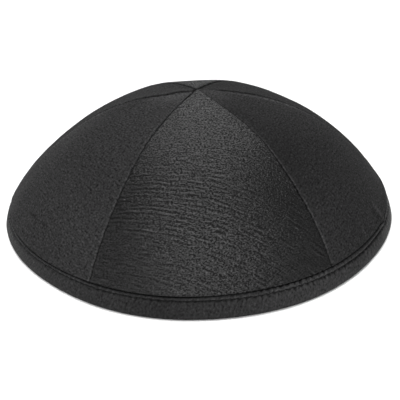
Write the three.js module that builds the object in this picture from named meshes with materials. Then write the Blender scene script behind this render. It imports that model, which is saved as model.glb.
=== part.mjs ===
// A six-panel cloth kippah with a bound rim, resting on that rim.
//
// Millimetres, +Z up. The front panel faces -Y and +X is to its right. The origin is the middle of
// the cap's outline from above, on the surface that the rim rests on.
//
// Six gores of thin cloth meet at the crown. Their lower edges go down inside a folded strip, the
// binding, which wraps the whole rim outside and inside. Each gore and the binding is one mesh.
//
// The cap's line is the outer face of the cloth. A meridian runs down it from the crown to the rim,
// and share is how far along it a point lies, 0 at the crown and 1 at the rim.

import * as THREE from "three";

// Sizes
const MERIDIAN_LENGTH = 105.4; // crown to rim along the cloth
const CLOTH = 1.0; // wall of a gore
const BINDING_WALL = 1.0; // wall of the binding, outside and inside
const GAP = 0.3; // between neighbouring pieces
const BINDING_PROUD = 0.1; // how far the binding's face stands outside the cap's line
const BINDING_HEIGHT = 7.0; // top edge of the binding outside, above the surface, on average
const BINDING_LOWER_INSIDE = 0.4; // the inner edge is this much lower
const BINDING_FLOOR = 1.2; // thickness of the fold at the very bottom
const TUCK_ABOVE = 0.3; // the gores are pressed in from this far above the binding's edge
const TUCK_RUN = 2.2; // length over which they are pressed in
const GORE_END_HEIGHT = 2.2; // a gore's lower edge inside the binding, above the surface
const CROWN_HOLE = 0.9; // the gores' tips end this far from the crown, along the cloth

// Mesh
const GORE_COLUMNS = 10;
const GORE_ROWS = { free: 13, tuck: 2, held: 2 }; // above the tuck, in it, and in the binding
const BINDING_SEGMENTS = 84;

// How steeply the cloth falls, in degrees below level, along the meridian
const MERIDIAN = [
  { share: 0 / 9, slope: 5.4 },
  { share: 1 / 9, slope: 8.2 },
  { share: 2 / 9, slope: 12.8 },
  { share: 3 / 9, slope: 19.5 },
  { share: 4 / 9, slope: 29.1 },
  { share: 5 / 9, slope: 36.0 },
  { share: 6 / 9, slope: 41.0 },
  { share: 7 / 9, slope: 46.9 },
  { share: 8 / 9, slope: 56.3 },
  { share: 9 / 9, slope: 73.1 },
];

// The outline from above is round but for these waves, each a share of the radius. Those with a
// fade are only in the cloth near the rim.
const OUTLINE_WAVES = [
  { waves: 2, front: 0.0048, side: 0.004, fade: 0 },
  { waves: 3, front: 0.0071, side: 0.0032, fade: 0 },
  { waves: 4, front: 0.0034, side: 0.0003, fade: 0 },
  { waves: 5, front: 0.0016, side: 0.0002, fade: 5 },
  { waves: 6, front: -0.0024, side: -0.0025, fade: 5 },
  { waves: 7, front: 0.0009, side: 0.0024, fade: 5 },
  { waves: 8, front: -0.0015, side: -0.0021, fade: 5 },
];

// The binding is a little taller on some sides
const BINDING_WAVES = [
  { waves: 1, front: 0.16, side: 0.54 },
  { waves: 2, front: 0.37, side: -0.08 },
];

// The crown leans by this much from straight above the middle of the rim
const CROWN_LEAN = { x: 1.05, y: -0.7 };

// Between the seams the gores lie a little flatter than a round dome
const GORE_FLATNESS = 0.46;
const GORE_MIDDLE = 2.9; // azimuth of the middle of the front gore

// Azimuth of each seam, in degrees from the front towards +X, down its length
const SEAMS = [
  { name: "front_left", crown: -28.9, upper: -29.0, lower: -28.9, rim: -28.9 },
  { name: "front_right", crown: 31.9, upper: 34.3, lower: 34.7, rim: 34.0 },
  { name: "right", crown: 93.4, upper: 90.4, lower: 90.9, rim: 91.4 },
  { name: "back_right", crown: 153.1, upper: 153.0, lower: 153.0, rim: 153.0 },
  { name: "back_left", crown: 209.0, upper: 210.3, lower: 211.1, rim: 211.4 },
  { name: "left", crown: 271.3, upper: 270.2, lower: 271.2, rim: 271.2 },
];
const SEAM_STATIONS = { crown: 0.15, upper: 0.35, lower: 0.65, rim: 1 };

// Each gore lies between two seams
const GORES = [
  { name: "gore_front", from: "front_left", to: "front_right" },
  { name: "gore_right_front", from: "front_right", to: "right" },
  { name: "gore_right_back", from: "right", to: "back_right" },
  { name: "gore_back", from: "back_right", to: "back_left" },
  { name: "gore_left_back", from: "back_left", to: "left" },
  { name: "gore_left_front", from: "left", to: "front_left" },
];

// Shallow dents in the cloth: place, half widths, and depth
const DENTS = [
  { name: "right_side", azimuth: 77, share: 0.84, spanDegrees: 16, spanShare: 0.07, depth: 0.5 },
];

// ---------------------------------------------------------------------------------------------

const radians = THREE.MathUtils.degToRad;

// A smooth curve through a table's rows: cubic, with the slopes of the neighbouring rows.
function smooth(rows, key, value, x) {
  let i = rows.findIndex((row) => row[key] > x) - 1;
  if (i < 0) i = x < rows[0][key] ? 0 : rows.length - 2;
  const slope = (k) => {
    const a = rows[Math.max(k - 1, 0)];
    const b = rows[Math.min(k + 1, rows.length - 1)];
    return (b[value] - a[value]) / (b[key] - a[key]);
  };
  const [a, b] = [rows[i], rows[i + 1]];
  const run = b[key] - a[key];
  const t = (x - a[key]) / run;
  return (
    a[value] * (1 + 2 * t) * (1 - t) ** 2 +
    b[value] * t * t * (3 - 2 * t) +
    slope(i) * run * t * (1 - t) ** 2 -
    slope(i + 1) * run * t * t * (1 - t)
  );
}

// The meridian in steps: radius, height above the surface, and slope in radians
const STEPS = 400;
const line = [{ share: 0, radius: 0, height: 0, slope: radians(MERIDIAN[0].slope) }];
for (let i = 1; i <= STEPS; i++) {
  const share = i / STEPS;
  const slope = radians(smooth(MERIDIAN, "share", "slope", share));
  const last = line[i - 1];
  const middle = (slope + last.slope) / 2;
  const step = MERIDIAN_LENGTH / STEPS;
  line.push({
    share,
    radius: last.radius + step * Math.cos(middle),
    height: last.height - step * Math.sin(middle),
    slope,
  });
}
const drop = line[STEPS].height;
for (const at of line) at.height -= drop;
const CROWN_HEIGHT = line[0].height;

function atShare(share) {
  const x = THREE.MathUtils.clamp(share, 0, 1) * STEPS;
  const i = Math.min(Math.floor(x), STEPS - 1);
  const t = x - i;
  const mix = (key) => line[i][key] * (1 - t) + line[i + 1][key] * t;
  return { share, radius: mix("radius"), height: mix("height"), slope: mix("slope") };
}

function shareAtHeight(height) {
  const i = line.findIndex((at) => at.height <= height);
  if (i <= 0) return i < 0 ? 1 : 0;
  const [a, b] = [line[i - 1], line[i]];
  return a.share + ((a.height - height) / (a.height - b.height)) * (b.share - a.share);
}

const step01 = (x, from, to) => THREE.MathUtils.smoothstep(x, from, to);

// A point of the cap: azimuth in radians, share, distance out of the cloth's outer face, and then
// a distance that is taken level, so that the height stays.
function capPoint(azimuth, share, out, level = 0) {
  const at = atShare(share);
  let wave = 1;
  for (const { waves, front, side, fade } of OUTLINE_WAVES)
    wave += (front * Math.cos(waves * azimuth) + side * Math.sin(waves * azimuth)) * at.share ** fade;
  let inwards = 0;
  const middle = 0.5 + 0.5 * Math.cos(6 * (azimuth - radians(GORE_MIDDLE)));
  inwards += GORE_FLATNESS * middle * Math.sin(Math.PI * at.share) ** 0.7;
  for (const dent of DENTS) {
    const across = THREE.MathUtils.radToDeg(
      Math.atan2(Math.sin(azimuth - radians(dent.azimuth)), Math.cos(azimuth - radians(dent.azimuth))),
    );
    const u = across / dent.spanDegrees;
    const v = (at.share - dent.share) / dent.spanShare;
    inwards += dent.depth * Math.exp(-u * u - v * v);
  }
  const away = out - inwards;
  const radius = at.radius * wave + away * Math.sin(at.slope) + level / Math.sin(at.slope);
  const height = at.height + away * Math.cos(at.slope);
  const lean = at.height / CROWN_HEIGHT;
  return new THREE.Vector3(
    radius * Math.sin(azimuth) + CROWN_LEAN.x * lean,
    -radius * Math.cos(azimuth) + CROWN_LEAN.y * lean,
    height,
  );
}

// The binding's top edge at an azimuth
function bindingHeight(azimuth) {
  let height = BINDING_HEIGHT;
  for (const { waves, front, side } of BINDING_WAVES)
    height += front * Math.cos(waves * azimuth) + side * Math.sin(waves * azimuth);
  return height;
}

// The gores are pressed inwards where the binding holds them.
const PRESSED = BINDING_WALL + GAP - BINDING_PROUD;
function tuck(azimuth) {
  const end = shareAtHeight(bindingHeight(azimuth) + TUCK_ABOVE);
  return { start: end - TUCK_RUN / MERIDIAN_LENGTH, end };
}

function seamAzimuth(seam, share) {
  const rows = [{ share: 0, azimuth: seam.crown }];
  for (const [key, at] of Object.entries(SEAM_STATIONS)) rows.push({ share: at, azimuth: seam[key] });
  return radians(smooth(rows, "share", "azimuth", share));
}

const cloth = (name, colour, roughness) =>
  new THREE.MeshStandardMaterial({ name, color: colour, roughness, metalness: 0 });

// A gore: a box bent to the cap between two seams. Its width runs from seam to seam, its height
// from the crown down to its edge inside the binding, and its depth through the cloth.
function gore({ name, from, to }) {
  const [a, b] = [from, to].map((key) => SEAMS.find((seam) => seam.name === key));
  const turn = b.rim < a.rim ? 2 * Math.PI : 0;
  const top = CROWN_HOLE / MERIDIAN_LENGTH;
  const bottom = shareAtHeight(GORE_END_HEIGHT);
  const { free, tuck: bent, held } = GORE_ROWS;
  const rows = free + bent + held;
  const between = (from, to, part) => from + (to - from) * part;
  const geometry = new THREE.BoxGeometry(1, 1, 1, GORE_COLUMNS, rows, 1);
  const position = geometry.attributes.position;
  for (let i = 0; i < position.count; i++) {
    const across = position.getX(i) + 0.5;
    const row = Math.round((0.5 - position.getY(i)) * rows);
    const inner = position.getZ(i) < 0;
    const { start, end } = tuck(between(radians(a.rim), radians(b.rim) + turn, across));
    let share = between(top, start, row / free);
    if (row > free) share = between(start, end, (row - free) / bent);
    if (row > free + bent) share = between(end, bottom, (row - free - bent) / held);
    const half = Math.asin(Math.min(GAP / 2 / atShare(share).radius, 0.45));
    const left = seamAzimuth(a, share) + half;
    const right = seamAzimuth(b, share) + turn - half;
    const azimuth = between(left, right, across);
    const p = capPoint(azimuth, share, inner ? -CLOTH : 0, -PRESSED * step01(share, start, end));
    position.setXYZ(i, p.x, p.y, p.z);
  }
  const mesh = new THREE.Mesh(geometry, cloth("cloth", 0x2b2b2c, 0.62));
  mesh.name = name;
  return mesh;
}

// The binding: its section, as distance out of the cap's line and height, turned round the rim.
function binding() {
  const face = BINDING_PROUD;
  const grooveOut = face - BINDING_WALL;
  const grooveIn = -PRESSED - CLOTH - GAP;
  const back = grooveIn - BINDING_WALL;
  const high = BINDING_HEIGHT;
  const inside = BINDING_HEIGHT - BINDING_LOWER_INSIDE;
  const section = [
    { out: face - 0.8, height: 0 },
    { out: face - 0.22, height: 0.26 },
    { out: face, height: 0.9 },
    { out: face, height: 3.0 },
    { out: face, height: 5.0 },
    { out: face, height: high - 0.4 },
    { out: face - 0.3, height: high },
    { out: grooveOut + 0.2, height: high },
    { out: grooveOut, height: high - 0.3 },
    { out: grooveOut, height: 4.4 },
    { out: grooveOut, height: BINDING_FLOOR + 0.3 },
    { out: grooveOut - 0.3, height: BINDING_FLOOR },
    { out: grooveIn + 0.3, height: BINDING_FLOOR },
    { out: grooveIn, height: BINDING_FLOOR + 0.3 },
    { out: grooveIn, height: 4.4 },
    { out: grooveIn, height: inside - 0.3 },
    { out: grooveIn - 0.2, height: inside },
    { out: back + 0.3, height: inside },
    { out: back, height: inside - 0.4 },
    { out: back, height: 3.6 },
    { out: back, height: 0.9 },
    { out: back + 0.22, height: 0.26 },
    { out: back + 0.8, height: 0 },
  ];
  const AWAY = 100; // keeps the section off the lathe's axis
  const points = section.map((row) => new THREE.Vector2(AWAY + row.out, row.height));
  points.push(points[0].clone());
  const geometry = new THREE.LatheGeometry(points, BINDING_SEGMENTS);
  const position = geometry.attributes.position;
  for (let i = 0; i < position.count; i++) {
    const [x, y, z] = [position.getX(i), position.getY(i), position.getZ(i)];
    const azimuth = Math.atan2(x, z);
    const out = Math.hypot(x, z) - AWAY;
    // heights above the fold stretch to the binding's own height on this side
    const stretch = (bindingHeight(azimuth) - BINDING_FLOOR) / (BINDING_HEIGHT - BINDING_FLOOR);
    const height = y <= BINDING_FLOOR ? y : BINDING_FLOOR + (y - BINDING_FLOOR) * stretch;
    const p = capPoint(azimuth, shareAtHeight(height), 0, out);
    position.setXYZ(i, p.x, p.y, height);
  }
  const mesh = new THREE.Mesh(geometry, cloth("binding_cloth", 0x2a2a2b, 0.66));
  mesh.name = "binding";
  return mesh;
}

const kippah = new THREE.Group();
for (const row of GORES) kippah.add(gore(row));
kippah.add(binding());

// The origin goes under the middle of the outline.
const box = new THREE.Box3().setFromObject(kippah);
const centre = box.getCenter(new THREE.Vector3());
kippah.position.set(-centre.x, -centre.y, 0);

export default kippah;
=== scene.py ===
# The look of the six-panel cloth kippah. Everything is worked out in millimetres in the CAD's frame
# and turned to metres when a mesh is made.
import math
import bpy
import numpy as np
from mathutils import Matrix, Vector


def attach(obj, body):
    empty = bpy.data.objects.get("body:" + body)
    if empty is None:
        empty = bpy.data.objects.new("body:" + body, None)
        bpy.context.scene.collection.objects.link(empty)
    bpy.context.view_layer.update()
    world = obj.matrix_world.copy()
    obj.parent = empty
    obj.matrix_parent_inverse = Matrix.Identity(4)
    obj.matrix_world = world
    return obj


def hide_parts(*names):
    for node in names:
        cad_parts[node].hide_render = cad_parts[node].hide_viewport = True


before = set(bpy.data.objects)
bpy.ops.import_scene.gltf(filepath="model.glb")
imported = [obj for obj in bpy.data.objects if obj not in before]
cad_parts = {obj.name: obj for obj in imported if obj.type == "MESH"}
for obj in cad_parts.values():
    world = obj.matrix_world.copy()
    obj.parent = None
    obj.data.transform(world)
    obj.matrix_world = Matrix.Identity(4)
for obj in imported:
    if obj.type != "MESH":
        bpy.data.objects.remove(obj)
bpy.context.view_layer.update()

MM = 0.001
TAU = 2 * math.pi
rng = np.random.default_rng(20)

# ------------------------------------------------------------------------------ the cap's own form
# The same tables as the CAD: the meridian's slopes, the outline's waves, the seams.
MERIDIAN_LENGTH = 105.4
SHARE_SLOPE = [(i / 9, v) for i, v in enumerate((5.4, 8.2, 12.8, 19.5, 29.1, 36.0, 41.0, 46.9, 56.3, 73.1))]
# waves round the rim: count, towards the front, towards the side, fade
OUTLINE_WAVES = [
    (2, 0.0048, 0.0040, 0), (3, 0.0071, 0.0032, 0), (4, 0.0034, 0.0003, 0), (5, 0.0016, 0.0002, 5),
    (6, -0.0024, -0.0025, 5), (7, 0.0009, 0.0024, 5), (8, -0.0015, -0.0021, 5),
]
BINDING_HEIGHT = 7.0
BINDING_WAVES = [(1, 0.16, 0.54), (2, 0.37, -0.08)]
KINK = (64.6, 1.7, 0.85)  # where the gore bulges over the binding's edge: azimuth, half width, depth
CROWN_LEAN = (1.05, -0.7)
GORE_FLATNESS, GORE_MIDDLE = 0.46, 2.9
SEAM_STATIONS = (0.0, 0.15, 0.35, 0.65, 1.0)
SEAMS = {
    "front_left": (-28.9, -28.9, -29.0, -28.9, -28.9),
    "front_right": (31.9, 31.9, 34.3, 34.7, 34.0),
    "right": (93.4, 93.4, 90.4, 90.9, 91.4),
    "back_right": (153.1, 153.1, 153.0, 153.0, 153.0),
    "back_left": (209.0, 209.0, 210.3, 211.1, 211.4),
    "left": (271.3, 271.3, 270.2, 271.2, 271.2),
}
# the left seam bends over near the crown and ends in the front left one: share, degrees
LEFT_JOINS = [(0, 59.8), (0.018, 59.8), (0.035, 28.7), (0.06, 5.5), (0.10, 3.8), (0.135, 3.6), (0.175, 0.0),
              (0.215, -2.8), (0.30, -2.8), (0.45, -2.2), (0.6, -1.5), (0.8, -0.5), (1.0, 0.0)]
GORES = [
    ("gore_front", "front_left", "front_right"), ("gore_right_front", "front_right", "right"),
    ("gore_right_back", "right", "back_right"), ("gore_back", "back_right", "back_left"),
    ("gore_left_back", "back_left", "left"), ("gore_left_front", "left", "front_left"),
]
# azimuth, share, half widths, depth
DENTS = [(77, 0.84, 16, 0.07, 0.5)]
CENTRE = (-0.432, -0.7585)  # from the rim's own middle to the frame's origin


def smooth(rows, x):
    """A cubic through the rows of a table, with the slopes of the neighbouring rows."""
    xs, ys = (np.array(v, float) for v in zip(*rows))
    last = len(xs) - 1
    up, down = np.minimum(np.arange(last + 1) + 1, last), np.maximum(np.arange(last + 1) - 1, 0)
    slope = (ys[up] - ys[down]) / (xs[up] - xs[down])
    i = np.clip(np.searchsorted(xs, x, side="right") - 1, 0, last - 1)
    run = xs[i + 1] - xs[i]
    t = (x - xs[i]) / run
    return (ys[i] * (1 + 2 * t) * (1 - t) ** 2 + ys[i + 1] * t * t * (3 - 2 * t)
            + slope[i] * run * t * (1 - t) ** 2 - slope[i + 1] * run * t * t * (1 - t))


NODES = np.linspace(0, 1, 401)
LINE_SLOPE = np.radians(smooth(SHARE_SLOPE, NODES))
_middle, _step = (LINE_SLOPE[1:] + LINE_SLOPE[:-1]) / 2, MERIDIAN_LENGTH / 400
LINE_R = np.concatenate([[0], np.cumsum(_step * np.cos(_middle))])
LINE_H = np.concatenate([[0], -np.cumsum(_step * np.sin(_middle))])
LINE_H -= LINE_H[-1]
CROWN = LINE_H[0]


def share_at_height(height):
    return np.interp(-np.asarray(height, float), -LINE_H, NODES)


def step01(x, a, b):
    t = np.clip((x - a) / (b - a), 0, 1)
    return t * t * (3 - 2 * t)


def turn(a):
    """An angle in radians, brought between -pi and pi."""
    return np.angle(np.exp(1j * a))


def waved(azimuth, share):
    wave = 1.0
    for n, front, side, fade in OUTLINE_WAVES:
        wave = wave + (front * np.cos(n * azimuth) + side * np.sin(n * azimuth)) * share ** fade
    return wave


def cap_point(azimuth, share, out=0.0, level=0.0):
    """A point of the cap, out of the cloth's outer face, and then level, so that its height stays."""
    share = np.clip(share, 0, 1)
    r, h, slope = (np.interp(share, NODES, v) for v in (LINE_R, LINE_H, LINE_SLOPE))
    middle = 0.5 + 0.5 * np.cos(6 * (azimuth - math.radians(GORE_MIDDLE)))
    inwards = GORE_FLATNESS * middle * np.sin(math.pi * np.clip(share, 0, 0.9999)) ** 0.7
    for at, where, wide, tall, depth in DENTS:
        u = np.degrees(turn(azimuth - math.radians(at))) / wide
        inwards = inwards + depth * np.exp(-u * u - ((share - where) / tall) ** 2)
    away = out - inwards
    radius = r * waved(azimuth, share) + away * np.sin(slope) + level / np.sin(slope)
    lean = h / CROWN
    return np.stack([
        radius * np.sin(azimuth) + CROWN_LEAN[0] * lean - CENTRE[0],
        -radius * np.cos(azimuth) + CROWN_LEAN[1] * lean - CENTRE[1],
        h + away * np.cos(slope),
    ], -1)


def kink(azimuth):
    at, wide, deep = KINK
    return deep * np.exp(-(turn(azimuth - math.radians(at)) / math.radians(wide)) ** 2)


def binding_height(azimuth):
    height = BINDING_HEIGHT
    for n, front, side in BINDING_WAVES:
        height = height + front * np.cos(n * azimuth) + side * np.sin(n * azimuth)
    return height - kink(azimuth)


def seam_azimuth(name, share):
    azimuth = smooth(list(zip(SEAM_STATIONS, SEAMS[name])), share)
    if name == "left":
        azimuth = azimuth + np.minimum(smooth(LEFT_JOINS, share), LEFT_JOINS[0][1])
    return np.radians(azimuth)


def wander(x, longest, shortest, seed, terms=14):
    """A smooth irregular line of about -1 to 1: sines of lengths between the two given."""
    g = np.random.default_rng(seed)
    lengths = np.exp(g.uniform(math.log(shortest), math.log(longest), terms))
    phases, parts = g.uniform(0, TAU, terms), g.uniform(0.5, 1, terms)
    out = 0.0
    for length, phase, part in zip(lengths, phases, parts):
        out = out + part * np.sin(TAU * x / length + phase)
    return out / math.sqrt((parts ** 2).sum() / 2) / 2


def around(azimuth, longest, shortest, seed, terms=14):
    """The same round the rim, where lengths are in mm, so that it meets itself."""
    g = np.random.default_rng(seed)
    counts = np.round(TAU * 85 / np.exp(g.uniform(math.log(shortest), math.log(longest), terms)))
    phases, parts = g.uniform(0, TAU, terms), g.uniform(0.5, 1, terms)
    out = 0.0
    for count, phase, part in zip(counts, phases, parts):
        out = out + part * np.sin(count * azimuth + phase)
    return out / math.sqrt((parts ** 2).sum() / 2) / 2


def unevenness(p, longest, shortest, seed, terms=26):
    """The same in space: p is an array of points in mm."""
    g = np.random.default_rng(seed)
    out = 0.0
    for _ in range(terms):
        way = g.normal(size=3)
        way /= np.linalg.norm(way)
        length = math.exp(g.uniform(math.log(shortest), math.log(longest)))
        out = out + np.sin(TAU * (p @ way) / length + g.uniform(0, TAU))
    return out / math.sqrt(terms / 2) / 2


# -------------------------------------------------------------------------------- meshes and nodes
def make_mesh(name, points, faces, material, uvs, fold=None):
    """points in mm, faces as an array of quads, uvs {name: one pair for each corner}; the last argument
    holds painted shade (less than 0) and painted highlights (more than 0) that darken and lighten the colour."""
    mesh = bpy.data.meshes.new(name)
    points, faces = np.asarray(points, float) * MM, np.asarray(faces, np.int32)
    mesh.vertices.add(len(points))
    mesh.vertices.foreach_set("co", points.astype(np.float32).ravel())
    mesh.loops.add(faces.size)
    mesh.loops.foreach_set("vertex_index", faces.ravel())
    mesh.polygons.add(len(faces))
    mesh.polygons.foreach_set("loop_start", np.arange(len(faces), dtype=np.int32) * faces.shape[1])
    mesh.update(calc_edges=True)
    for key, value in uvs.items():
        layer = mesh.uv_layers.new(name=key)
        layer.uv.foreach_set("vector", np.asarray(value, np.float32).ravel())
    if fold is not None:
        mesh.attributes.new("fold", "FLOAT", "POINT").data.foreach_set("value", np.asarray(fold, np.float32).ravel())
    mesh.shade_smooth()
    mesh.set_sharp_from_angle(angle=math.radians(55))
    mesh.materials.append(material)
    mesh.validate()
    piece = bpy.data.objects.new(name, mesh)
    bpy.context.scene.collection.objects.link(piece)
    return piece


def node_maker(tree):
    """A short way to add nodes: add(type, settings, inputs) links sockets and sets numbers."""
    def add(kind, settings=None, inputs=None):
        node = tree.nodes.new(kind)
        for key, value in (settings or {}).items():
            setattr(node, key, value)
        for key, value in (inputs or {}).items():
            if isinstance(value, bpy.types.NodeSocket):
                tree.links.new(value, node.inputs[key])
            else:
                node.inputs[key].default_value = value
        return node

    def maths(operation, a, b=0.0, clamp=False):
        return add("ShaderNodeMath", {"operation": operation, "use_clamp": clamp}, {0: a, 1: b}).outputs[0]

    return add, maths


# How each cloth looks: reflectance of its dyed threads, gloss, roughness, strength of the ribs and the
# slubs across it and of the fine grain, the grain's size and the relief in mm, and the turn of the
# floats that give the satin its direction, in parts of a whole turn; fade is how fast the grain
# weakens towards a panel's lower corners.
# the left gores' cloth and the right gores' cloth are one cloth: the left copy's higher tone is painted light, the
# right copy's lower tone painted shade
CLOTHS = {
    "cloth_front": dict(tone=0.0078, gloss=0.362, rough=0.615, rib=1.00, slub=0.46, grain=2.35, size=0.76, relief=0.08, turn=0.25, fade=4.5),
    "cloth_right_shaded": dict(tone=0.0158, gloss=0.100, rough=0.78, rib=0.06, slub=0.15, grain=0.72, size=1.00, relief=0.04, turn=0.25, fade=0.0),
    "cloth_left_lit": dict(tone=0.0203, gloss=0.094, rough=0.78, rib=0.06, slub=0.18, grain=0.74, size=1.00, relief=0.04, turn=0.25, fade=0.0),
    "cloth_binding": dict(tone=0.0157, gloss=0.105, rough=0.55, rib=0.05, slub=0.13, grain=0.70, size=1.0, relief=0.04, turn=0.0, fade=0.0),
}


def cloth_material(name, tone, gloss, rough, rib, slub, grain, size, relief, turn, fade):
    """Black cotton satin: fine weave, uneven threads across the panel, a low sheen along one way."""
    material = bpy.data.materials.new(name)
    material.use_nodes = True
    tree = material.node_tree
    tree.nodes.clear()
    add, maths = node_maker(tree)
    place = add("ShaderNodeUVMap", {"uv_map": "cloth"}).outputs[0]  # 1 is 100 mm of cloth
    square = add("ShaderNodeUVMap", {"uv_map": "grain"}).outputs[0]  # the same without the weave's lean

    def pattern(across, along, detail, rough=0.5, shift=(0, 0, 0), on=place):
        """Noise with threads of these lengths in mm, across the panel and along it."""
        moved = add("ShaderNodeMapping", None, {"Vector": on, "Location": shift,
                                                "Scale": (100 / across, 100 / along, 1)}).outputs[0]
        return add("ShaderNodeTexNoise", {"noise_dimensions": "2D"},
                   {"Vector": moved, "Scale": 1.0, "Detail": detail, "Roughness": rough}).outputs[0]

    weft = pattern(2.8, 0.70, 1.0, 0.5)
    weft_long = pattern(6.5, 1.05, 1.0, 0.5, (7, 3, 0))
    mottle = pattern(size, 0.75 * size, 1.0, 0.6, (5, 1, 0), square)
    blotch = pattern(2.6, 2.0, 1.0, 0.5, (2, 6, 0), square)
    cloudy = pattern(28.0, 22.0, 2.0, 0.5, (1, 4, 0))
    bend = pattern(9.0, 6.0, 1.0, 0.5, (8, 2, 0))
    patchy = pattern(7.0, 3.0, 1.0, 0.5, (4, 7, 0))
    broken = pattern(2.3, 1.5, 1.0, 0.5, (3, 9, 0))

    # threads: over and under, 0.34 mm across and 0.30 mm along
    xyz = add("ShaderNodeSeparateXYZ", None, {0: place})
    over = maths("SINE", maths("MULTIPLY", xyz.outputs[0], 100 * TAU / 0.34))
    under = maths("SINE", maths("MULTIPLY", xyz.outputs[1], 100 * TAU / 0.30))
    weave = maths("MULTIPLY_ADD", over, 0.35, )
    weave_node = weave.node
    tree.links.new(under, weave_node.inputs[2])

    # ribs: thicker weft threads 1.95 mm apart, in short runs, plainest half way down the panel
    waves = maths("SINE", maths("ADD", maths("MULTIPLY", xyz.outputs[1], 100 * TAU / 1.88), maths("MULTIPLY", bend, 5.5)))
    halfway = maths("MULTIPLY", maths("SUBTRACT", xyz.outputs[1], 0.67), 1 / 0.21)
    sideways = maths("MULTIPLY", maths("ADD", xyz.outputs[0], 0.09), 1 / 0.36)
    halfway = maths("ADD", maths("MULTIPLY", halfway, halfway), maths("MULTIPLY", sideways, sideways))
    halfway = maths("MAXIMUM", maths("SUBTRACT", 1.0, halfway), 0.0)
    plain = maths("MULTIPLY_ADD", maths("SUBTRACT", patchy, 0.49), 3.6)
    tree.links.new(halfway, plain.node.inputs[2])
    plain = maths("MAXIMUM", plain, 0.0)
    broken = maths("MAXIMUM", maths("SUBTRACT", maths("MULTIPLY", broken, 3.6), 0.8), 0.0)
    ribs = maths("MULTIPLY", maths("MULTIPLY", maths("MULTIPLY", waves, plain), broken), rib)
    streaks = maths("ADD", maths("MULTIPLY", maths("SUBTRACT", weft, 0.5), 3.2 * slub),
                    maths("MULTIPLY", maths("SUBTRACT", weft_long, 0.5), 2.4 * slub))
    specks = maths("ADD", maths("MULTIPLY", maths("SUBTRACT", mottle, 0.5), 4.0 * grain),
                   maths("MULTIPLY", maths("SUBTRACT", blotch, 0.5), 0.6 * grain))
    beside = add("ShaderNodeSeparateXYZ", None, {0: square}).outputs[0]
    corner = maths("MULTIPLY", beside, xyz.outputs[1])
    weaker = maths("SUBTRACT", 1.0, maths("MULTIPLY", maths("MULTIPLY", corner, corner), 1.9 * fade))
    weaker = maths("SUBTRACT", weaker, maths("MULTIPLY", maths("POWER", xyz.outputs[1], 4.0), 0.07 * fade))
    specks = maths("MULTIPLY", specks, maths("MAXIMUM", weaker, 0.45))
    # most of the grain is faint and a few specks are strong
    strength = maths("MULTIPLY_ADD", maths("ABSOLUTE", specks), 0.75)
    strength.node.inputs[2].default_value = 0.35
    specks = maths("MULTIPLY", specks, strength)
    threads = maths("ADD", streaks, ribs)
    rough_bits = maths("ADD", threads, specks)

    # colour: dyed threads, paler where they are thin, slow clouds, and the painted shade and painted highlights of the
    # mesh attribute
    paler = maths("MULTIPLY_ADD", rough_bits, 1.0)
    paler.node.inputs[2].default_value = 1.0
    paler = maths("MAXIMUM", paler, 0.15)
    clouds = maths("MULTIPLY_ADD", maths("SUBTRACT", cloudy, 0.5), 0.30)
    clouds.node.inputs[2].default_value = 1.0
    # the mesh attribute carries painted shade and painted highlights, which darken and lighten the colour
    fold = add("ShaderNodeAttribute", {"attribute_name": "fold", "attribute_type": "GEOMETRY"}).outputs["Fac"]
    shade_gain = maths("MULTIPLY_ADD", fold, 0.8)
    shade_gain.node.inputs[2].default_value = 1.0
    grey = maths("MULTIPLY", maths("MULTIPLY", maths("MULTIPLY", paler, clouds), shade_gain), tone)
    colour = add("ShaderNodeCombineColor", None,
                 {0: maths("MULTIPLY", grey, 1.0), 1: maths("MULTIPLY", grey, 0.995), 2: maths("MULTIPLY", grey, 1.01)}).outputs[0]

    uneven = maths("ADD", maths("MULTIPLY", threads, -0.14), maths("MULTIPLY", specks, -0.18))
    roughness = maths("MAXIMUM", maths("ADD", uneven, rough), 0.2)

    height = maths("ADD", maths("MULTIPLY", threads, relief), maths("MULTIPLY", specks, 0.35 * relief))
    height = maths("ADD", height, maths("MULTIPLY", weave, 0.006))
    bump = add("ShaderNodeBump", None, {"Height": height, "Strength": 1.0, "Distance": MM}).outputs[0]
    tangent = add("ShaderNodeTangent", {"direction_type": "UV_MAP", "uv_map": "cloth"}).outputs[0]
    shader = add("ShaderNodeBsdfPrincipled", None, {
        "Base Color": colour, "Roughness": roughness, "Normal": bump, "Tangent": tangent,
        "Metallic": 0.0, "IOR": 1.4, "Specular IOR Level": gloss,
        "Anisotropic": 0.7, "Anisotropic Rotation": turn,
    })
    add("ShaderNodeOutputMaterial", None, {"Surface": shader.outputs[0]})
    return material


def thread_material(name):
    """Twisted black sewing thread."""
    material = bpy.data.materials.new(name)
    material.use_nodes = True
    tree = material.node_tree
    tree.nodes.clear()
    add, maths = node_maker(tree)
    place = add("ShaderNodeUVMap", {"uv_map": "cloth"}).outputs[0]  # u along the stitch, v round it
    xyz = add("ShaderNodeSeparateXYZ", None, {0: place})
    twist = maths("SINE", maths("ADD", maths("MULTIPLY", xyz.outputs[0], 100 * TAU / 0.42),
                                maths("MULTIPLY", xyz.outputs[1], 3 * TAU)))
    grey = maths("MULTIPLY_ADD", twist, 0.003)
    grey.node.inputs[2].default_value = 0.008
    colour = add("ShaderNodeCombineColor", None, {0: grey, 1: grey, 2: grey}).outputs[0]
    bump = add("ShaderNodeBump", None, {"Height": twist, "Strength": 1.0, "Distance": 0.03 * MM}).outputs[0]
    shader = add("ShaderNodeBsdfPrincipled", None, {
        "Base Color": colour, "Roughness": 0.6, "Normal": bump, "Specular IOR Level": 0.15})
    add("ShaderNodeOutputMaterial", None, {"Surface": shader.outputs[0]})
    return material


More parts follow.
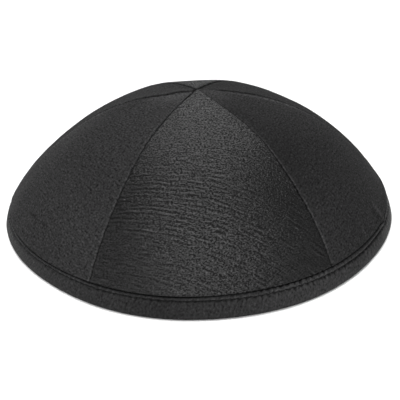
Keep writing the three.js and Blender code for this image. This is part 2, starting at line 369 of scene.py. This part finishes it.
# ------------------------------------------------------------------------------------- the panels
COLUMNS = {True: 150, False: 90}  # of the three gores at the front, and of the others
ROWS = {True: (200, 10, 8), False: (140, 10, 8)}  # above the tuck, in it, and inside the binding
WALL = 0.85  # one gore's cloth
ALLOWANCE, ALLOWANCE_WALL = 4.8, 0.45  # width of the cloth turned back inside each seam, and its bulk
GORE_END = 2.4  # height of a gore's lower edge, inside the binding
TOP = 0.08 / MERIDIAN_LENGTH  # share at which the gores begin
STITCHES = 206  # round the binding
PRESSED, TUCK_ABOVE, TUCK_RUN = 0.84, -0.12, 0.75  # how the binding presses the gores in
SLOT_WALL = 1.22

# Each seam: radius of the cloth's roll into it, how much it puckers, how far the pressed allowances
# lift the gore on each side, how wide the painted shade in its groove is, and where the painted highlights
# on its raised edges lie and how wide they are, each near the crown and near the rim.
SEAM_LOOK = {
    "front_left": dict(roll=(0.49, 0.42), pucker=0.14, before=(0.30, 0.26), after=(0.12, 0.10),
                       fold=(0.33, 0.21), edge=(1.0, 0.70), edge_wide=(0.45, 0.30)),
    "front_right": dict(roll=(0.50, 0.45), pucker=0.07, before=(0.30, 0.10), after=(0.10, 0.32),
                        fold=(0.35, 0.24), edge=(0.8, 0.62), edge_wide=(0.40, 0.27)),
    "right": dict(roll=(0.90, 0.50), pucker=0.08, before=(0.22, 0.22), after=(0.14, 0.16),
                  fold=(1.40, 0.35), edge=(2.4, 1.2), edge_wide=(0.85, 0.55)),
    "back_right": dict(roll=(1.10, 0.50), pucker=0.12, before=(0.20, 0.20), after=(0.20, 0.20),
                       fold=(1.15, 0.35), edge=(1.8, 0.9), edge_wide=(0.60, 0.40)),
    "back_left": dict(roll=(1.10, 0.50), pucker=0.08, before=(0.20, 0.20), after=(0.20, 0.20),
                      fold=(1.15, 0.35), edge=(1.8, 0.9), edge_wide=(0.60, 0.40)),
    "left": dict(roll=(1.20, 0.50), pucker=0.09, before=(0.16, 0.14), after=(0.22, 0.24),
                 fold=(1.45, 0.35), edge=(2.8, 1.0), edge_wide=(0.90, 0.50)),
}
# How dark the painted shade in the seam's groove is, and how strong the painted highlight on the cloth beside it,
# before and after it, from crown to rim
SEAM_PAINTED_SHADING = {
    "front_left": [(0, 1, .2, .2), (.09, 1, .2, .2), (.13, .35, .2, .3), (.2, .25, .3, .2), (.35, .35, .5, .1), (.6, .45, .65, .1), (.85, .5, .65, .1), (1, .5, .6, .1)],
    "front_right": [(0, .3, .7, .1), (.2, .1, .7, .1), (.35, .2, .4, .8), (.5, .4, .1, 1.5), (.75, .6, .0, 1.6), (.92, .7, .0, 1.6), (1, .7, 0, 1)],
    "right": [(0, 0, 0, 0), (.06, .0, 0, 0), (.085, .5, .2, .3), (.11, 1.0, .5, .6), (.17, 1.0, 1.1, .7), (.22, .85, 1.6, .4), (.28, .55, 1.8, .1), (.36, .4, 1.7, .2), (.5, .3, 1.1, .2), (1, .3, .6, .3)],
    "back_right": [(0, 1.0, .1, .1), (.2, 1.0, .2, .2), (1, .6, .4, .4)],
    "back_left": [(0, 1.0, .1, .1), (.2, 1.0, .2, .2), (1, .6, .4, .4)],
    "left": [(0, 1.0, .2, .2), (.08, 1.0, .6, .2), (.2, 1.0, .5, .4), (.25, .5, .1, .4), (.31, .3, .2, .5), (.4, .3, .3, 1.1), (.6, .3, .4, 1.1), (1, .3, .4, .6)],
}
# The weave's lean in each gore: at its middle, more towards one side, and more towards the rim
WEAVE_LEAN = {
    "gore_front": (0.287, 0.0062, 0.0055),
    "gore_right_front": (-0.06, 0.003, 0.001),
    "gore_right_back": (0.05, 0.002, 0.0),
    "gore_back": (-0.04, 0.003, 0.0),
    "gore_left_back": (0.06, 0.002, 0.0),
    "gore_left_front": (0.04, 0.003, 0.001),
}
# Painted highlights where the gores catch the light, and painted shade where they lie darker: gore, place
# across it and share, half widths of both, and how much
PAINTED_LIGHT_PATCHES = [
    ("gore_left_front", 0.55, 0.08, 0.50, 0.09, 1.00),
    ("gore_left_front", 0.10, 0.14, 0.25, 0.06, 0.60),
    ("gore_left_front", 0.05, 0.52, 0.17, 0.17, 0.60),
    ("gore_right_front", 0.60, 0.06, 0.90, 0.09, 0.95),
    ("gore_right_front", 1.00, 0.42, 0.33, 0.24, 0.65),
    ("gore_right_front", 1.00, 0.82, 0.26, 0.12, -0.65),
    ("gore_right_front", 0.10, 0.48, 0.33, 0.20, -0.38),
    ("gore_right_front", 0.00, 0.80, 0.18, 0.12, 0.25),
    ("gore_right_back", 0.40, 0.20, 0.90, 0.25, 0.30),
    ("gore_left_back", 0.60, 0.20, 0.90, 0.25, 0.22),
    ("gore_back", 0.50, 0.10, 0.90, 0.14, 0.45),
    ("gore_front", 0.42, 0.13, 0.85, 0.12, 1.70),
    ("gore_front", 0.00, 0.02, 0.25, 0.05, -2.60),
    ("gore_front", 0.62, 0.29, 0.35, 0.08, 0.35),
    ("gore_front", 0.45, 0.40, 0.40, 0.13, 0.45),
    ("gore_front", 0.05, 0.56, 0.18, 0.12, -0.60),
    ("gore_front", 0.90, 0.62, 0.20, 0.14, -0.75),
    ("gore_front", 0.50, 0.78, 0.22, 0.14, 0.45),
]
# Creases pressed into the cloth: from azimuth and share to azimuth and share, half width, depth, and
# the painted highlight (more than 0) or painted shade (less than 0) along them
CREASES = [
    (63.9, 0.843, 65.2, 0.907, 0.95, -0.32, 1.8),
    (61.5, 0.860, 62.5, 0.920, 1.60, 0.20, -0.5),
    (51.8, 0.872, 51.5, 0.905, 0.60, -0.10, 1.1),
    (33.7, 0.907, 33.9, 0.911, 0.45, 0.15, -0.9),
    (40.4, 0.597, 42.4, 0.603, 0.60, -0.06, 0.9),
    (-20.0, 0.112, 17.0, 0.112, 0.40, 0.06, -1.2),
    (-64.3, 0.827, -57.5, 0.823, 0.55, 0.12, -0.8),
    (-55.0, 0.822, -52.0, 0.819, 0.50, 0.08, -0.6),
    (-37.8, 0.655, -33.5, 0.667, 0.7, 0.12, -0.3),
    (-28.8, 0.835, -20.0, 0.820, 0.45, 0.07, -0.4),
    (-28.0, 0.596, -14.0, 0.577, 0.45, 0.06, -0.4),
]


def flat_place(azimuth, share, middle):
    """Where a point of a gore lies on the flat cloth, in mm across and down from the crown."""
    r, slope = np.interp(share, NODES, LINE_R), np.interp(share, NODES, LINE_SLOPE)
    length = r / np.cos(slope)
    angle = (azimuth - middle) * np.cos(slope)
    return length * np.sin(angle), share * MERIDIAN_LENGTH - length * (1 - np.cos(angle))


def stitch_phase(azimuth):
    """A whole number where a stitch of the binding ends."""
    return azimuth * STITCHES / TAU + 0.12 * around(azimuth, 60, 11, 31)


def drawn_in(azimuth):
    """How much each stitch draws in the binding's edge, most at the right of the front."""
    return np.exp(-(turn(azimuth - math.radians(23)) / math.radians(16)) ** 2)


def creases(azimuth, share):
    """How deep the creases are there, and the painted highlight or painted shade along them."""
    depth, tone = 0.0, 0.0
    for a0, s0, a1, s1, wide, deep, pale in CREASES:
        r = np.interp((s0 + s1) / 2, NODES, LINE_R)
        x, y = turn(azimuth - math.radians(a0)) * r, (share - s0) * MERIDIAN_LENGTH
        dx, dy = math.radians(a1 - a0) * r, (s1 - s0) * MERIDIAN_LENGTH
        t = np.clip((x * dx + y * dy) / (dx * dx + dy * dy), 0, 1)
        off = np.hypot(x - t * dx, y - t * dy)
        along = 0.35 + 0.65 * np.sin(math.pi * (0.12 + 0.76 * t))
        depth = depth + deep * np.exp(-(off / wide) ** 2) * along
        tone = tone + pale * np.exp(-(off / (0.7 * wide)) ** 2) * along
    return depth, tone


def gore(name, left, right):
    full = TAU if SEAMS[right][-1] < SEAMS[left][-1] else 0.0
    rim = [math.radians(SEAMS[left][-1]), math.radians(SEAMS[right][-1]) + full]
    fine = "front" in name
    crowd = 1.7
    t = np.linspace(-1, 1, COLUMNS[fine] + 1)[None, :]
    plain = 0.5 + 0.5 * np.tanh(crowd * t) / math.tanh(crowd)
    # rows follow the binding's edge
    at = rim[0] + (rim[1] - rim[0]) * plain
    end = share_at_height(binding_height(at) + TUCK_ABOVE + 0.15 * drawn_in(at))
    start = end - TUCK_RUN / MERIDIAN_LENGTH
    bottom = share_at_height(GORE_END)
    top = TOP if name != "gore_left_front" else 0.0195
    stops = [top + 0 * start, start, end, bottom + 0 * start]
    share = np.concatenate([a + (b - a) * np.linspace(0, 1, n, endpoint=last)[:, None]
                            for a, b, n, last in zip(stops, stops[1:], (ROWS[fine][0], ROWS[fine][1], ROWS[fine][2] + 1), (False, False, True))])
    r = np.interp(share, NODES, LINE_R)
    a, b = seam_azimuth(left, share), seam_azimuth(right, share) + full
    width = (b - a) * r
    tight = 0.05 + (crowd - 0.05) * step01(width, 3, 60)
    across = 0.5 + 0.5 * np.tanh(tight * t) / np.tanh(tight)
    hair = np.arcsin(np.minimum(0.012 / r, 0.4))
    azimuth = a + hair + (b - a - 2 * hair) * across
    along = share * MERIDIAN_LENGTH

    lift, roll, raised = 0.0, 0.0, 0.0
    bulk, fold = 0.0, 0.0
    for seam, d, side in ((left, across * width, "after"), (right, (1 - across) * width, "before")):
        look = SEAM_LOOK[seam]
        radius, shade_width, edge, edge_wide = (look[k][0] + (look[k][1] - look[k][0]) * step01(share, 0.2, 0.55)
                                           for k in ("roll", "fold", "edge", "edge_wide"))
        if seam == "right":  # pressed flat near the crown
            radius = radius * (0.35 + 0.65 * step01(share, 0.055, 0.09))
        inside = np.clip(1 - d / radius, 0, 1)
        roll = np.maximum(roll, radius * (1 - np.sqrt(1 - inside ** 2 * 0.98)))
        high = look[side][0] + (look[side][1] - look[side][0]) * step01(share, 0.35, 0.65)
        raised = np.maximum(raised, high * (1 - step01(d, 1.0, 9.0)))
        seed = 100 + list(SEAMS).index(seam)
        wave = wander(along + 0.3 * d, 6.5, 2.3, seed) + 0.5 * wander(along - 0.2 * d, 16, 7, seed + 50)
        lift = lift + look["pucker"] * wave * np.exp(-(d / 2.4) ** 2) * step01(share, 0.03, 0.15)
        bulk = np.maximum(bulk, 1 - step01(d, ALLOWANCE - 0.5, ALLOWANCE + 0.3))
        # painted shade in each seam's groove and painted highlights on the raised cloth beside it
        at, dark, *pale = zip(*SEAM_PAINTED_SHADING[seam])
        dark, pale = np.interp(share, at, dark), np.interp(share, at, pale[side == "after"])
        broken = 1 + 0.65 * step01(share, 0.1, 0.2) * wander(along, 5, 1.7, seed + 92)
        fold = fold - dark * broken * np.exp(-(d / shade_width) ** 2)
        fold = fold + pale * np.exp(-((d - edge) / edge_wide) ** 2) * (0.8 + 0.3 * wander(along, 19, 3, seed + 90) + 0.5 * wander(along, 3.6, 1.5, seed + 91))
    base = cap_point(azimuth, share)
    lift = lift + raised * (1 - 0.6 * step01(share, 0.88, 0.93))
    lift = lift + 0.12 * unevenness(base, 48, 17, 5) * step01(share, 0.02, 0.2)
    lift = lift + 0.035 * unevenness(base, 11, 5, 6) * step01(share, 0.02, 0.2)
    # painted highlights and painted shade in patches over the gores
    for place, t0, s0, wide, tall, pale in PAINTED_LIGHT_PATCHES:
        if place == name:
            fold = fold + pale * np.exp(-((across - t0) / wide) ** 2 - ((share - s0) / tall) ** 2)
    deep, tone = creases(azimuth, share)
    # the creases' tone is painted highlight and painted shade
    lift, fold = lift - deep, fold + tone
    # the cloth swells a little just above the binding, most on the right
    swell = 0.20 + 0.35 * np.exp(-(turn(azimuth - math.radians(80)) / math.radians(15)) ** 2)
    lift = lift + swell * np.exp(-((share - start) * MERIDIAN_LENGTH + 0.4) ** 2 / 2.0 ** 2)
    level = -PRESSED * step01(share, start, end)
    # inside the binding the cloth lies flat and no thicker than its slot
    slot = step01(share, end - 0.35 / MERIDIAN_LENGTH, end + 0.05 / MERIDIAN_LENGTH)
    lift = lift * (1 - slot)
    thick = WALL + ALLOWANCE_WALL * bulk
    thick = thick + (np.minimum(thick, SLOT_WALL) - thick) * slot
    outer = cap_point(azimuth, share, lift - roll, level)
    inner = cap_point(azimuth, share, lift - thick, level)

    rows, cols = share.shape
    index = np.arange(rows * cols).reshape(rows, cols)
    o, i = index, index + rows * cols
    def quads(a, b, c, d):
        return np.stack([a, b, c, d], -1).reshape(-1, 4)
    parts = [
        quads(o[:-1, :-1], o[1:, :-1], o[1:, 1:], o[:-1, 1:]),
        quads(i[:-1, :-1], i[:-1, 1:], i[1:, 1:], i[1:, :-1]),
        quads(o[1:, 0], o[:-1, 0], i[:-1, 0], i[1:, 0]),
        quads(o[:-1, -1], o[1:, -1], i[1:, -1], i[:-1, -1]),
        quads(o[-1, 1:], o[-1, :-1], i[-1, :-1], i[-1, 1:]),
        quads(o[0, :-1], o[0, 1:], i[0, 1:], i[0, :-1]),
    ]
    middle = sum(rim) / 2
    p, q = flat_place(azimuth, share, middle)
    lean, bow, more = WEAVE_LEAN[name]
    threads = q - lean * p - bow * p * p / 2 - more * (q - 60) * p
    # the flat place of each vertex, for the outer sheet, the inner one, and a fringe for the edges
    flat = np.stack([p, q], -1).reshape(-1, 2)
    woven = np.stack([p, threads], -1).reshape(-1, 2)
    fringe = np.zeros((rows, cols, 2))
    fringe[:, 0, 0], fringe[:, -1, 0], fringe[-1, :, 1], fringe[0, :, 1] = -1, 1, 1, -1
    fringe = fringe.reshape(-1, 2)
    bake, weave, grain = [], [], []
    count = rows * cols
    for n, part in enumerate(parts):
        v = part % count
        turned = (part >= count)[..., None] & (n > 1)
        bake.append((flat[v] + fringe[v] * turned + [(55, 4), (170, 4)][n == 1]) / 226)
        weave.append((woven[v] + fringe[v] * turned) / 100)
        grain.append((flat[v] + fringe[v] * turned) / 100)
    above = (start - share) * MERIDIAN_LENGTH
    # painted highlight just above the tuck, and painted shade in the tuck under the binding's edge, broken at each
    # stitch
    dashes = (0.10 + 0.60 * drawn_in(azimuth)) * np.cos(TAU * stitch_phase(azimuth))
    fold = fold + 0.16 * np.exp(-((above - 0.5) / 0.7) ** 2)
    fold = np.maximum(fold, -1) * (1 - step01(share, start, end)) - (0.35 + 0.35 * around(azimuth, 6, 1.8, 88, 30) + dashes) * step01(share, start + 0.05 / MERIDIAN_LENGTH, end)
    points = np.concatenate([outer.reshape(-1, 3), inner.reshape(-1, 3)])
    fold = np.concatenate([fold.ravel(), 0 * fold.ravel()])
    uvs = {"OFBake": np.concatenate(bake), "cloth": np.concatenate(weave), "grain": np.concatenate(grain)}
    return points, np.concatenate(parts), uvs, fold


MATERIALS = {name: cloth_material(name, **look) for name, look in CLOTHS.items()}
GORE_CLOTH = {
    "gore_front": "cloth_front", "gore_back": "cloth_front", "gore_left_front": "cloth_left_lit",
    "gore_left_back": "cloth_left_lit", "gore_right_front": "cloth_right_shaded", "gore_right_back": "cloth_right_shaded",
}
for name, left, right in GORES:
    points, faces, uvs, fold = gore(name, left, right)
    piece = make_mesh(name + "_cloth", points, faces, MATERIALS[GORE_CLOTH[name]], uvs, fold)
    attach(piece, "root")
    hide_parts(name)

# ------------------------------------------------------------------------------------ the binding
SEGMENTS = 1160
FACE = 0.0  # the binding's face, out of the cap's line
PLY = 0.74  # thickness of its folded edge
INNER_PLY_OUT = -2.25  # outer side of the ply inside the cap
FOLD_FLOOR = 1.3
INSIDE_LOWER = 0.4  # the inner edge lies this much lower
STITCH_BELOW = 1.30  # the topstitch, below the binding's edge, and how far that wanders
STITCH_WANDER = 0.25
JOIN_AT = math.radians(186)  # where the strip's ends meet, at the back

JOIN = 9.0  # overlap there
# painted highlights where the strip catches the light, and painted shade where it lies darker: middle and half width in
# degrees, and how much
BINDING_PAINTED_LIGHT = [(-75, 25, 0.85), (-32, 14, 0.20), (-9, 11, -0.30), (25, 13, 0.80), (45, 16, 0.28), (69, 18, -0.95), (130, 30, 0.20)]


def stitch_below(azimuth):
    return STITCH_BELOW + STITCH_WANDER * np.cos(2 * azimuth - 1.6) - 0.45 * kink(azimuth)


def binding_face(azimuth, below, height, total, inside=False):
    """How far the binding's face stands out or in from its plain place: azimuth, depth below its
    edge, height above the floor, and its whole height there."""
    phase = stitch_phase(azimuth) + (0.5 if inside else 0)
    hole = np.abs(np.cos(math.pi * phase)) ** 6
    seed = 60 if inside else 40
    line = stitch_below(azimuth)
    shallow = 1 - 0.55 * np.exp(-(turn(azimuth - math.radians(70)) / math.radians(14)) ** 2)
    groove = (0.46 + 0.22 * hole) * shallow * np.exp(-((below - line) / 0.38) ** 2)
    ridge = (0.05 + 0.07 * (1 - hole)) * np.exp(-((below - 0.5 * line) / 0.5) ** 2)
    body = 0.14 * np.sin(math.pi * np.clip((height - 0.6) / (total - STITCH_BELOW - 0.4), 0, 1)) ** 0.8
    # drag lines lean away from the stitches
    drag = around(azimuth + 0.5 * below / 85, 7, 2.4, seed) * np.exp(-((below - line - 0.9) / 1.5) ** 2)
    slow = around(azimuth - 0.3 * height / 85, 55, 14, seed + 3)
    x = turn(azimuth - JOIN_AT) * 85 + 0.5 * (height - 3.5)
    join = 0.32 * step01(x, -0.5, 0.25) * (1 - step01(x, JOIN - 2, JOIN + 2))
    return ridge - groove + body + 0.085 * drag + 0.10 * slow * step01(height, 0, 2) + join


def binding():
    azimuth = (np.arange(SEGMENTS) * TAU / SEGMENTS)[None, :]
    total = (binding_height(azimuth) + 0.06 * around(azimuth, 9, 3, 71)
             - (0.04 + 0.17 * drawn_in(azimuth)) * np.cos(TAU * stitch_phase(azimuth)))
    sections = []  # rows of (out, height)
    bottom, edge = 1.35, PLY / 2
    zero = 0 * azimuth
    # outside: the fold at the floor, the face, and the rolled edge
    for angle in np.radians([0, 18, 36, 54, 72]):
        h = bottom * (1 - math.cos(angle)) + zero
        sections.append((FACE - bottom * (1 - math.sin(angle)) + binding_face(azimuth, total - h, h, total), h))
    top = total - edge
    for part in (0, .1, .2, .3, .4, .5, .6, .7, .8, .9):
        h = bottom + (total - STITCH_BELOW - 0.95 - bottom) * part
        sections.append((FACE + binding_face(azimuth, total - h, h, total), h))
    for below in np.arange(STITCH_BELOW + 0.95, edge, -0.17):
        h = total - below
        sections.append((FACE + binding_face(azimuth, below, h, total), h))
    lip = binding_face(azimuth, edge, top, total)
    for angle in np.radians([0, 25, 50, 75, 100, 130, 160]):
        sections.append((FACE + lip - edge * (1 - math.cos(angle)), top + edge * math.sin(angle)))
    outer_rows = len(sections)
    # down between the plies, and up again
    groove = FACE - PLY
    sections += [(groove + zero, top - 0.6), (groove + zero, FOLD_FLOOR + 1.6 + zero), (groove - 0.1 + zero, FOLD_FLOOR + 0.2 + zero),
                 (groove - 0.4 + zero, FOLD_FLOOR + zero), (INNER_PLY_OUT + 0.4 + zero, FOLD_FLOOR + zero),
                 (INNER_PLY_OUT + 0.1 + zero, FOLD_FLOOR + 0.2 + zero), (INNER_PLY_OUT + zero, FOLD_FLOOR + 1.6 + zero)]
    inside = total - INSIDE_LOWER
    top = inside - edge
    back = INNER_PLY_OUT - PLY
    sections.append((INNER_PLY_OUT + zero, top - 0.5))
    for angle in np.radians([20, 50, 80, 105, 130, 155]):
        sections.append((INNER_PLY_OUT - edge * (1 - math.cos(angle)), top + edge * math.sin(angle)))
    for below in np.arange(edge, STITCH_BELOW + 1.0, 0.2):
        h = inside - below
        sections.append((back - binding_face(azimuth, below, h, inside, True), h))
    for part in np.arange(0.1, 1.01, 0.15):
        h = (inside - STITCH_BELOW - 1.0) + (bottom - inside + STITCH_BELOW + 1.0) * part
        sections.append((back - binding_face(azimuth, inside - h, h, inside, True), h))
    for angle in np.radians([65, 45, 22, 0]):
        h = bottom * (1 - math.cos(angle)) + zero
        sections.append((back + bottom * (1 - math.sin(angle)) - binding_face(azimuth, inside - h, h, inside, True), h))
    out = np.concatenate([s[0] + zero for s in sections])
    height = np.concatenate([s[1] + zero for s in sections])
    az = azimuth + 0 * height
    points = cap_point(az, share_at_height(height), 0.0, out)
    points[..., 2] = height
    n = len(out)
    # its tone: painted shade in the crevice at its edge and in the stitch groove, painted highlights on the ridge
    # between them and below the stitches, painted highlights and shade round the rim, and a little random unevenness
    below = total - height
    hole = np.abs(np.cos(math.pi * stitch_phase(az))) ** 6
    uneven = sum(pale * np.exp(-(turn(az - math.radians(at)) / math.radians(wide)) ** 2) for at, wide, pale in BINDING_PAINTED_LIGHT)
    uneven = uneven + 0.05 * around(az, 30, 6, 91)
    line = stitch_below(az)
    fuzz, ragged = around(az, 4.0, 1.2, 95, 30), around(az + 0.3 * below / 85, 3.2, 1.0, 96, 30)
    ahead = np.exp(-(turn(az - math.radians(4)) / math.radians(22)) ** 2)
    right = np.exp(-(turn(az - math.radians(42)) / math.radians(20)) ** 2)
    faint = (0.75 * np.exp(-(turn(az + math.radians(52)) / math.radians(24)) ** 2) - 0.9 * right
             + 0.3 * np.exp(-(turn(az + math.radians(8)) / math.radians(14)) ** 2)
             + 1.0 * np.exp(-(turn(az - math.radians(70)) / math.radians(13)) ** 2))
    dark = 0.30 + 0.35 * (1 - hole) + drawn_in(az) * (1.4 * hole - 0.55) + 0.35 * fuzz + 0.20 * ahead
    fold = (uneven - dark * np.exp(-(below / 0.30) ** 2)
            + (1.0 - 0.5 * hole + 0.35 * ragged) * np.exp(-((below - 0.56 * line) / 0.32) ** 2)
            - (0.40 + 0.65 * hole + 0.50 * fuzz) * (1 - faint) * np.exp(-((below - line - 0.05) / (0.30 + 0.14 * right)) ** 2)
            + (0.30 * ragged + 0.35 * right) * np.exp(-((below - line - 0.75) / 0.45) ** 2))
    fold = np.where(np.arange(n)[:, None] < outer_rows, np.maximum(fold, -1), 0)
    # the strip's own length down the section, at the front, for the cloth's place
    ring = points[:, 0]
    down = np.concatenate([[0], np.cumsum(np.linalg.norm(np.diff(np.vstack([ring, ring[:1]]), axis=0), axis=1))])
    a = np.arange(n * SEGMENTS).reshape(n, SEGMENTS)
    b = np.roll(a, -1, 1)
    up_a, up_b = np.roll(a, -1, 0), np.roll(b, -1, 0)
    faces = np.stack([a, b, up_b, up_a], -1).reshape(-1, 4)
    row, col = np.divmod(np.arange(n * SEGMENTS), SEGMENTS)
    step = TAU * 85 / SEGMENTS
    u = np.stack([col, col + 1, col + 1, col], -1) * step
    v = np.stack([down[row], down[row], down[row + 1], down[row + 1]], -1)
    third = SEGMENTS * step / 3
    piece = (col // (SEGMENTS / 3)).astype(int)[:, None]
    bake = np.stack([(u - piece * third + 3), (v + piece * (down[-1] + 4) + 3)], -1) / max(third + 6, 3 * (down[-1] + 4) + 6)
    # cut on the cross: the threads stand almost upright in it
    lean = math.radians(72)
    woven = np.stack([u * math.cos(lean) + v * math.sin(lean), v * math.cos(lean) - u * math.sin(lean)], -1) / 100
    return points.reshape(-1, 3), faces, {"OFBake": bake, "cloth": woven, "grain": woven}, fold


points, faces, uvs, fold = binding()
strip = make_mesh("binding_strip", points, faces, MATERIALS["cloth_binding"], uvs, fold)
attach(strip, "root")
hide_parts("binding")


def stitches(inside):
    """The topstitch: short threads that dive into the cloth at both ends."""
    rings, sides, radius = 9, 6, 0.17
    t = np.linspace(0, 1, rings)
    fine = np.linspace(-0.1, TAU + 0.1, 20001)
    phase = stitch_phase(fine) + (0.5 if inside else 0)
    starts = 0.5 + np.arange(STITCHES)
    at = np.interp(starts[:, None] + 0.10 + 0.80 * t[None, :], phase, fine)
    total = binding_height(at) - (INSIDE_LOWER if inside else 0)
    height = total - stitch_below(at) + 0.05 * around(at, 30, 6, 77)
    out = binding_face(at, total - height, height, total, inside) + 0.09 - 0.42 * (2 * t[None, :] - 1) ** 8
    base = INNER_PLY_OUT - PLY if inside else FACE
    way = -1 if inside else 1
    centre = cap_point(at, share_at_height(height), 0.0, base + way * out)
    centre[..., 2] = height
    along = np.gradient(centre, axis=1)
    along /= np.linalg.norm(along, axis=-1, keepdims=True)
    slope = np.interp(share_at_height(height), NODES, LINE_SLOPE)
    normal = way * np.stack([np.sin(at) * np.sin(slope), -np.cos(at) * np.sin(slope), np.cos(slope)], -1)
    side = np.cross(along, normal)
    normal = np.cross(side, along)
    thin = (1 - 0.55 * (2 * t - 1) ** 6)[None, :, None]
    turns = np.arange(sides) * TAU / sides
    points = (centre[:, :, None] + radius * thin[..., None] * (np.cos(turns)[:, None] * normal[:, :, None] * 0.8
                                                                + np.sin(turns)[:, None] * side[:, :, None]))
    count = points.shape[0]
    a = np.arange(count * rings * sides).reshape(count, rings, sides)
    b = np.roll(a, -1, 2)
    skin = np.stack([a[:, :-1], b[:, :-1], b[:, 1:], a[:, 1:]], -1).reshape(-1, 4)
    caps = [a[:, 0][:, [0, 5, 4, 3]], a[:, 0][:, [3, 2, 1, 0]], a[:, -1][:, [0, 1, 2, 3]], a[:, -1][:, [3, 4, 5, 0]]]
    faces = np.concatenate([skin, *caps])
    u, v = np.broadcast_to((t * 2.1)[None, :, None], a.shape), np.broadcast_to(np.arange(sides)[None, None] / sides, a.shape)
    place = np.stack([u.ravel() / 100, v.ravel()], -1)
    return points.reshape(-1, 3), faces, {"cloth": place[faces]}


THREAD = thread_material("black_thread")
for name, inside in (("topstitch_outside", False), ("topstitch_inside", True)):
    piece = make_mesh(name, *stitches(inside)[:2], THREAD, stitches(inside)[2])
    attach(piece, "root")

# ------------------------------------------------------------------------- floor, light and camera
scene = bpy.context.scene
FLOOR_RADIUS = 0.5


def turned(name, profile, steps=96):
    """A surface turned round the vertical, from a profile of (radius, height) in metres."""
    points = [(r * math.sin(TAU * i / steps), -r * math.cos(TAU * i / steps), h) for r, h in profile for i in range(steps)]
    faces = [(a + i, a + (i + 1) % steps, b + (i + 1) % steps, b + i)
             for a, b in ((k * steps, (k + 1) * steps) for k in range(len(profile) - 1)) for i in range(steps)]
    mesh = bpy.data.meshes.new(name)
    mesh.from_pydata(points, [], faces)
    thing = bpy.data.objects.new(name, mesh)
    scene.collection.objects.link(thing)
    return thing


floor = turned("floor", [(0.001, 0), (0.1, 0), (FLOOR_RADIUS, 0)])
floor_mesh = floor.data
pale = bpy.data.materials.new("pale_floor")
pale.use_nodes = True
ground = pale.node_tree.nodes["Principled BSDF"]
ground.inputs["Base Color"].default_value = (0.9, 0.9, 0.9, 1)
ground.inputs["Roughness"].default_value = 1.0
ground.inputs["Specular IOR Level"].default_value = 0.0
floor_mesh.materials.append(pale)

# a white studio sweep, past the floor's edge and up all round, that shows but casts no light on the cap
sweep = turned("sweep", [(FLOOR_RADIUS, 0), (4, 0), (5, 0.3), (5.6, 1), (5.8, 2.2), (5.2, 3.8), (3.6, 5), (0.01, 5.6)])
white = bpy.data.materials.new("white_sweep")
white.use_nodes = True
white.node_tree.nodes.clear()
shine = white.node_tree.nodes.new("ShaderNodeEmission")
shine.inputs["Strength"].default_value = 1.15
ending = white.node_tree.nodes.new("ShaderNodeOutputMaterial")
white.node_tree.links.new(shine.outputs[0], ending.inputs["Surface"])
sweep.data.materials.append(white)
for ray in ("diffuse", "glossy", "transmission", "volume_scatter", "shadow"):
    setattr(sweep, "visible_" + ray, False)

world = bpy.data.worlds.new("studio")
world.use_nodes = True
world.node_tree.nodes["Background"].inputs[0].default_value = (1, 1, 1, 1)
world.node_tree.nodes["Background"].inputs[1].default_value = 0.0
scene.world = world

# soft boxes: place, width, height, power in watts; each faces the cap
LIGHTS = [
    ("top", (0.0, 0.0, 1.90), 1.2, 1.2, 36.0),
    ("low", (0.0, -1.70, 0.70), 1.2, 1.2, 29.5),
    ("left", (-1.60, 0.0, 0.70), 1.2, 1.2, 6.0),
    ("back", (0.0, 1.25, 1.25), 1.2, 1.2, 12.0),
]
for name, place, wide, tall, power in LIGHTS:
    lamp = bpy.data.lights.new(name, "AREA")
    lamp.shape, lamp.size, lamp.size_y, lamp.energy = "RECTANGLE", wide, tall, power
    holder = bpy.data.objects.new(name, lamp)
    holder.location = place
    holder.rotation_euler = (Vector((0, 0, 0.02)) - Vector(place)).to_track_quat("-Z", "Y").to_euler()
    scene.collection.objects.link(holder)

# The camera looks down at the middle of the rim from in front, leaning slightly.
DISTANCE, ELEVATION, LENS = 296.3, math.radians(28.03), 59.0
YAW, PITCH, LEAN = 0.0021, 0.0021, 0.0359
eye = np.array([0, -DISTANCE * math.cos(ELEVATION), DISTANCE * math.sin(ELEVATION)])
ahead = -eye / np.linalg.norm(eye)
side = np.array([1.0, 0, 0])
up = np.cross(side, ahead)
side, ahead = math.cos(YAW) * side - math.sin(YAW) * ahead, math.sin(YAW) * side + math.cos(YAW) * ahead
up, ahead = math.cos(PITCH) * up - math.sin(PITCH) * ahead, math.sin(PITCH) * up + math.cos(PITCH) * ahead
side, up = math.cos(LEAN) * side - math.sin(LEAN) * up, math.sin(LEAN) * side + math.cos(LEAN) * up
lens = bpy.data.cameras.new("camera")
lens.sensor_width, lens.lens, lens.clip_start, lens.clip_end = 36.0, LENS, 0.01, 50
camera = bpy.data.objects.new("camera", lens)
eye = (eye - np.array([*CENTRE, 0])) * MM
camera.matrix_world = Matrix([[*row, at] for row, at in zip(np.stack([side, up, -ahead], 1), eye)] + [[0, 0, 0, 1]])
scene.collection.objects.link(camera)
scene.camera = camera
scene.view_settings.view_transform = "Standard"

bpy.context.view_layer.update()
